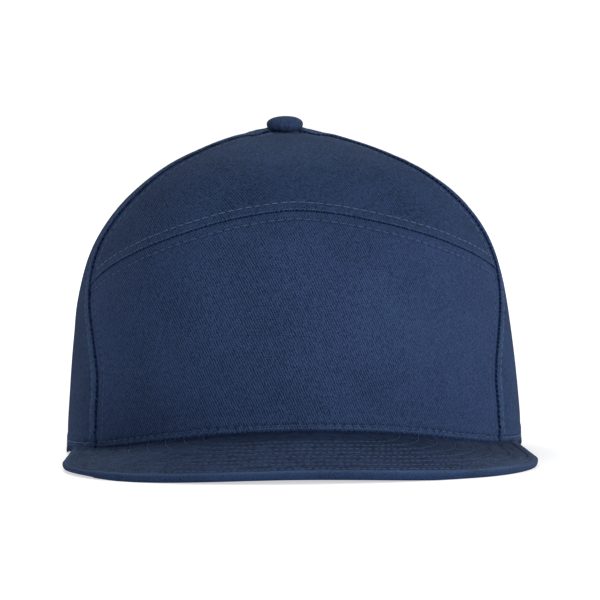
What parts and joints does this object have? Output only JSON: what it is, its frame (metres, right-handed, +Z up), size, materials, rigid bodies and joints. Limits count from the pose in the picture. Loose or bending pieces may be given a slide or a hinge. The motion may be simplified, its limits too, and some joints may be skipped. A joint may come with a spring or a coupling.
{
  "type": "flat bill cap",
  "caption": "Structured cloth cap with a wide front panel under an arched seam, a flat stitched bill, a covered button and a sweatband inside the rim.",
  "frame": {"origin": "on the plane that the cap rests on, under the middle of its width and of its length", "axes": "-Y is the way that the bill points, +X is the wearer's left and +Z is up, through the button"},
  "size_m": [0.184, 0.272, 0.1353],
  "materials": {
    "front_twill": "matte navy cotton twill, stiffened",
    "crown_twill": "matte navy cotton twill",
    "bill_twill": "matte navy cotton twill, stretched smooth",
    "band_cloth": "matte dark navy cotton"
  },
  "bodies": {
    "root": {"front_panel": "front_twill", "upper_front_panel": "crown_twill", "side_panel_left": "crown_twill", "side_panel_right": "crown_twill", "back_panel_left": "crown_twill", "back_panel_right": "crown_twill", "bill": "bill_twill", "button": "bill_twill", "sweatband": "band_cloth"}
  },
  "joints": []
}
